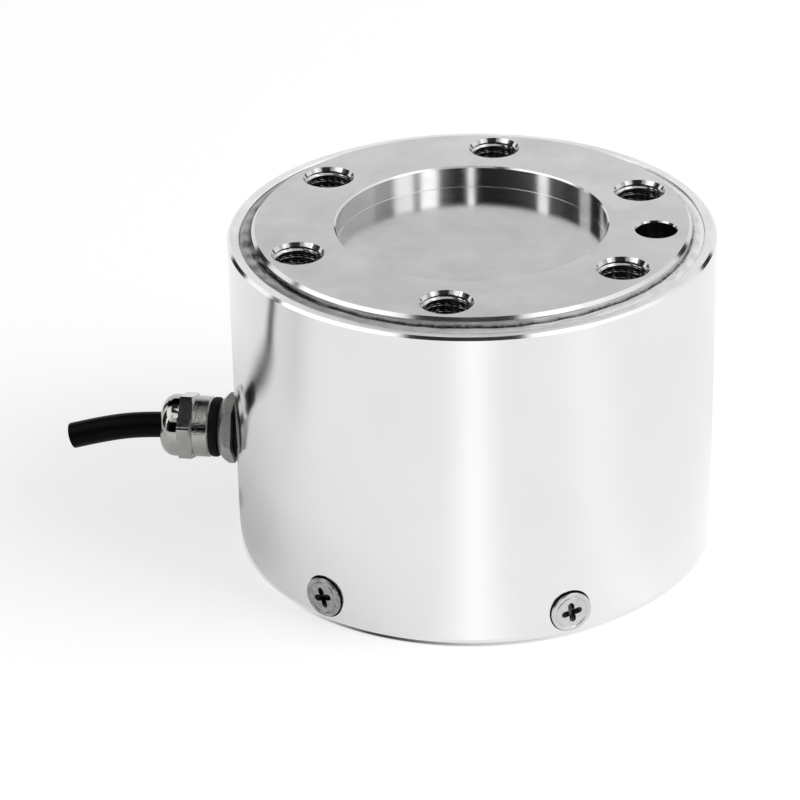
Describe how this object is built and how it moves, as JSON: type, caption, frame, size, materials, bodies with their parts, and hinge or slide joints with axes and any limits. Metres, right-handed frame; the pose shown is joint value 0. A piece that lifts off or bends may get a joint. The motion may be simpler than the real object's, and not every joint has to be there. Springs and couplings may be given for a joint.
{
  "type": "three-axis force sensor",
  "caption": "Round three-axis force sensor with a bolted load plate, a bright steel sleeve and a cable gland.",
  "frame": {"origin": "centre of the base bolt circle, on the base's lower face", "axes": "+Z along the main load axis, out of the load plate; +X towards the dowel hole; the cable leaves along -X"},
  "size_m": [0.1239, 0.09, 0.064],
  "materials": {
    "body_steel": "ground and turned stainless steel",
    "sleeve_steel": "fine-turned, polished stainless steel",
    "screw_steel": "stainless steel",
    "seal_bead": "glossy grey elastic sealant",
    "black_rubber": "matt rubber",
    "gauge_foil": "amber film",
    "lead_sleeving": "glass sleeving",
    "board_laminate": "solder-masked laminate",
    "plain_brass": "turned",
    "resistor_black": "glazed",
    "core_insulation": "coloured insulation",
    "cable_jacket": "black jacket with a slight sheen",
    "nickel_plate": "nickel-plated brass",
    "claw_plastic": "moulded"
  },
  "bodies": {
    "root": {"spring_body": "body_steel", "housing_sleeve": "sleeve_steel", "sleeve_screws": "screw_steel", "rim_seal": "seal_bead", "base_sealing_ring": "black_rubber", "strain_gauges": "gauge_foil", "gauge_leads": "lead_sleeving", "terminal_board": "board_laminate", "board_standoffs": "plain_brass", "board_screws": "screw_steel", "terminal_posts": "plain_brass", "trim_resistors": "resistor_black", "core_wires": "core_insulation", "cable_jacket": "cable_jacket", "cable_core_pack": "core_insulation", "gland_body": "nickel_plate", "gland_gasket": "black_rubber", "gland_lock_nut": "nickel_plate", "gland_seal": "black_rubber", "gland_claw": "claw_plastic", "gland_dome_nut": "nickel_plate"}
  },
  "joints": []
}
